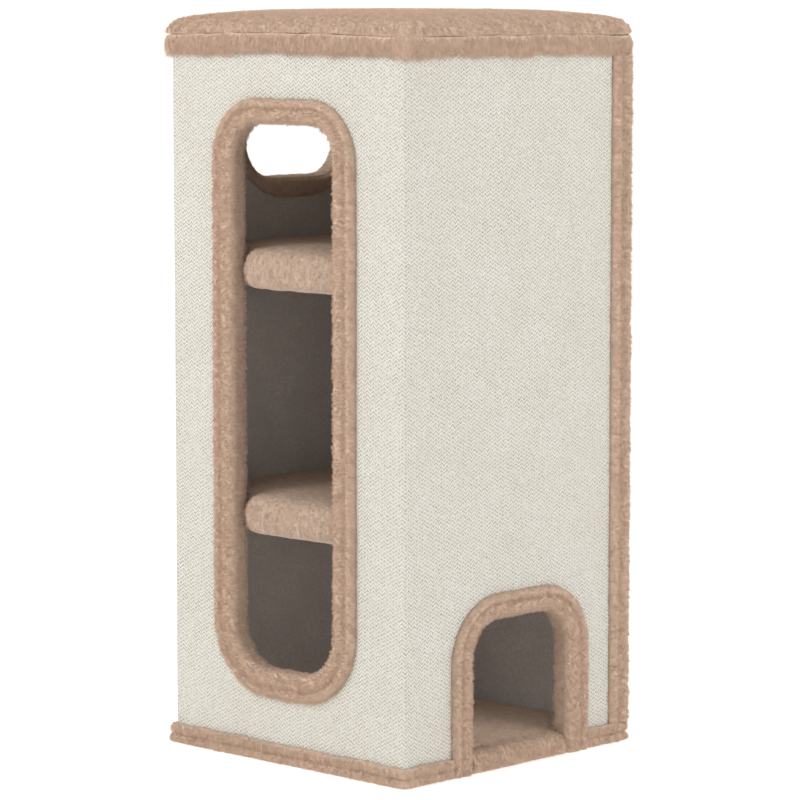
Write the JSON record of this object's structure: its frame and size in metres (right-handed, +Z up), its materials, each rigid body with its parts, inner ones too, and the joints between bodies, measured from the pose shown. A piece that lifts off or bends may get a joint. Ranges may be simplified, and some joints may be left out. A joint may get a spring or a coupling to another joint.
{
  "type": "cat tree",
  "caption": "Square cat tower with sisal-covered walls, padded plush lid, inner shelves, a tall side window, a floor-level door and an upper hole",
  "frame": {"origin": "middle of the base's underside, on the floor", "axes": "+Z up; the tall window is in the -Y wall, the floor-level door in the +X wall, the upper hole in the -X wall, and the +Y wall is plain"},
  "size_m": [0.4372, 0.4372, 0.97],
  "materials": {
    "board": "raw particle board",
    "batten": "planed softwood",
    "sisal": "woven sisal mat",
    "plush": "soft pile plush",
    "lining": "short napped felt",
    "steel": "zinc plated"
  },
  "bodies": {
    "root": {"base_board": "board", "lid_board": "board", "wall_window": "board", "wall_door": "board", "wall_plain": "board", "wall_hole": "board", "batten_front": "batten", "batten_left": "batten", "batten_right": "batten", "batten_back": "batten", "cleat_lower_plain_side": "batten", "cleat_lower_door_side": "batten", "cleat_upper_plain_side": "batten", "cleat_upper_door_side": "batten", "shelf_lower_board": "board", "shelf_lower_cover": "plush", "shelf_upper_board": "board", "shelf_upper_cover": "plush", "lining_window": "lining", "lining_door": "lining", "lining_plain": "lining", "lining_hole": "lining", "floor_pad": "plush", "sisal_wrap": "sisal", "trim_window": "plush", "trim_door": "plush", "trim_hole": "plush", "joint_strip": "plush", "base_band": "plush", "lid_band": "plush", "lid_cushion": "plush", "screw_base_front": "steel", "screw_base_left": "steel", "screw_base_right": "steel", "screw_base_back": "steel", "screw_lid_front": "steel", "screw_lid_left": "steel", "screw_lid_right": "steel", "screw_lid_back": "steel", "screw_cleat_lower_plain_side_1": "steel", "screw_cleat_lower_plain_side_2": "steel", "screw_cleat_lower_door_side_1": "steel", "screw_cleat_lower_door_side_2": "steel", "screw_cleat_upper_plain_side_1": "steel", "screw_cleat_upper_plain_side_2": "steel", "screw_cleat_upper_door_side_1": "steel", "screw_cleat_upper_door_side_2": "steel"}
  },
  "joints": []
}
